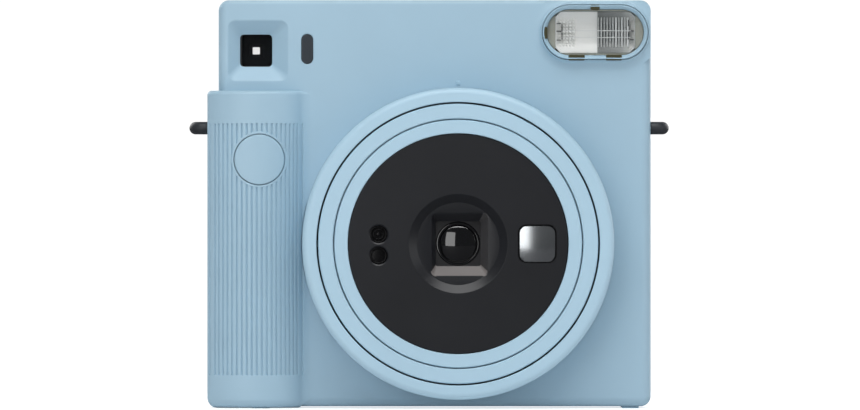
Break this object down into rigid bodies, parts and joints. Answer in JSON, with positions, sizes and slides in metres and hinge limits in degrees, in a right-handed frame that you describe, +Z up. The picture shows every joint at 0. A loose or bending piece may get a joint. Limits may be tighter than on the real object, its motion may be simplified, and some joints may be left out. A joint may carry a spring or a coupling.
{
  "type": "instant camera",
  "caption": "Instant camera for square film with a ribbed side grip, turning lens ring, telescoping barrel, flash, finder, film door and ejection rollers.",
  "frame": {"origin": "middle of the overall width and depth, on the surface the feet stand on", "axes": "-Y out of the lens, +X to the right seen from the front, +Z up"},
  "size_m": [0.1416, 0.0576, 0.1204],
  "materials": {
    "shell": "fine satin moulding",
    "ring": "fine satin moulding",
    "black_plastic": "matte black moulding",
    "panel": "semi-gloss black panel",
    "grey_plastic": "dark grey moulding",
    "dark_window": "smoked window",
    "steel": "bare steel",
    "clear_glass": "clear",
    "mirror": "polished",
    "reflector": "bright reflector",
    "blade": "matte black",
    "copper_coil": "enamelled wire",
    "board": "solder mask",
    "capacitor": "shrink sleeve",
    "battery_wrap": "printed sleeve",
    "white_plastic": "natural moulding"
  },
  "bodies": {
    "root": {"front_cover": "shell", "rear_cover": "shell", "grip_cover": "shell", "feet": "shell", "left_strap_lug": "grey_plastic", "right_strap_lug": "grey_plastic", "case_screws": "steel", "barrel_guide": "black_plastic", "flash_bezel": "shell", "flash_window": "clear_glass", "flash_reflector": "reflector", "flash_tube": "clear_glass", "flash_capacitor": "capacitor", "finder_tunnel": "black_plastic", "finder_front_lens": "clear_glass", "finder_eyepiece": "clear_glass", "light_window": "dark_window", "release_switch": "steel", "main_board": "board", "battery_box": "black_plastic", "front_battery": "battery_wrap", "rear_battery": "battery_wrap", "battery_contacts": "steel", "film_chamber": "black_plastic", "door_hinge_pin": "steel", "counter_window": "clear_glass", "left_roller_bracket": "steel", "right_roller_bracket": "steel", "drive_motor": "steel"},
    "lens_ring": {"lens_ring": "ring"},
    "middle_barrel": {"middle_barrel": "ring"},
    "inner_barrel": {"inner_barrel": "ring", "front_panel": "panel", "front_lens": "clear_glass", "rear_lens": "clear_glass", "lens_cell": "black_plastic", "shutter_plate": "black_plastic", "shutter_solenoid": "copper_coil", "selfie_mirror": "mirror", "upper_sensor_window": "clear_glass", "lower_sensor_window": "black_plastic"},
    "shutter_blade": {"shutter_blade": "blade"},
    "shutter_button": {"shutter_button": "shell"},
    "battery_door": {"battery_door": "shell"},
    "film_door": {"film_door": "shell", "door_window": "dark_window", "pack_springs": "steel"},
    "door_latch": {"door_latch": "grey_plastic"},
    "counter_wheel": {"counter_wheel": "white_plastic"},
    "film_pick": {"film_pick": "steel"},
    "front_roller": {"front_roller": "steel", "front_roller_gear": "white_plastic"},
    "rear_roller": {"rear_roller": "steel", "rear_roller_gear": "white_plastic"},
    "idler_gear": {"idler_gear": "white_plastic"},
    "motor_pinion": {"motor_pinion": "steel"},
    "exit_flap": {"exit_flap": "shell"}
  },
  "joints": [
    {"name": "barrel_slide", "type": "slide", "parent": "root", "child": "middle_barrel", "axis": [0, -1, 0], "range_m": [0, 0.0095]},
    {"name": "inner_slide", "type": "slide", "parent": "middle_barrel", "child": "inner_barrel", "axis": [0, -1, 0], "range_m": [0, 0.0095]},
    {"name": "ring_turn", "type": "hinge", "parent": "root", "child": "lens_ring", "pos_m": [0.00855, -0.02875, 0.0486], "axis": [0, -1, 0], "range_deg": [0, 75]},
    {"name": "shutter_swing", "type": "hinge", "parent": "inner_barrel", "child": "shutter_blade", "pos_m": [0.02455, -0.01615, 0.0486], "axis": [0, -1, 0], "range_deg": [0, 42]},
    {"name": "button_press", "type": "slide", "parent": "root", "child": "shutter_button", "axis": [0, 1, 0], "range_m": [0, 0.0012], "stiffness_N_per_m": 400, "springref_m": -0.0005},
    {"name": "battery_door_swing", "type": "hinge", "parent": "root", "child": "battery_door", "pos_m": [-0.0641, 0.01825, 0.03], "axis": [0, 0, -1], "range_deg": [0, 100]},
    {"name": "film_door_swing", "type": "hinge", "parent": "root", "child": "film_door", "pos_m": [0.0624, 0.02575, 0.05], "axis": [0, 0, -1], "range_deg": [0, 110]},
    {"name": "latch_slide", "type": "slide", "parent": "film_door", "child": "door_latch", "axis": [0, 0, 1], "range_m": [0, 0.004]},
    {"name": "counter_turn", "type": "hinge", "parent": "root", "child": "counter_wheel", "pos_m": [-0.0481, 0.02475, 0.0246], "axis": [0, 1, 0], "range_deg": [0, 324]},
    {"name": "pick_slide", "type": "slide", "parent": "root", "child": "film_pick", "axis": [0, 0, 1], "range_m": [0, 0.007]},
    {"name": "rear_roller_turn", "type": "hinge", "parent": "root", "child": "rear_roller", "pos_m": [0.00855, 0.01745, 0.1057], "axis": [1, 0, 0], "continuous": true},
    {"name": "front_roller_turn", "type": "hinge", "parent": "root", "child": "front_roller", "pos_m": [0.00855, 0.00945, 0.1057], "axis": [1, 0, 0], "continuous": true},
    {"name": "idler_turn", "type": "hinge", "parent": "root", "child": "idler_gear", "pos_m": [-0.03515, 0.01745, 0.0937], "axis": [1, 0, 0], "continuous": true},
    {"name": "pinion_turn", "type": "hinge", "parent": "root", "child": "motor_pinion", "pos_m": [-0.03515, 0.00945, 0.0877], "axis": [1, 0, 0], "continuous": true},
    {"name": "flap_lift", "type": "hinge", "parent": "root", "child": "exit_flap", "pos_m": [0.00855, 0.01295, 0.1193], "axis": [1, 0, 0], "range_deg": [0, 75]}
  ],
  "couplings": [
    {"joint": "inner_slide", "follows": "barrel_slide", "ratio": 1},
    {"joint": "ring_turn", "follows": "barrel_slide", "rad_per_m": 137.79},
    {"joint": "front_roller_turn", "follows": "rear_roller_turn", "ratio": -1},
    {"joint": "idler_turn", "follows": "rear_roller_turn", "ratio": -0.5},
    {"joint": "pinion_turn", "follows": "rear_roller_turn", "ratio": 2}
  ]
}
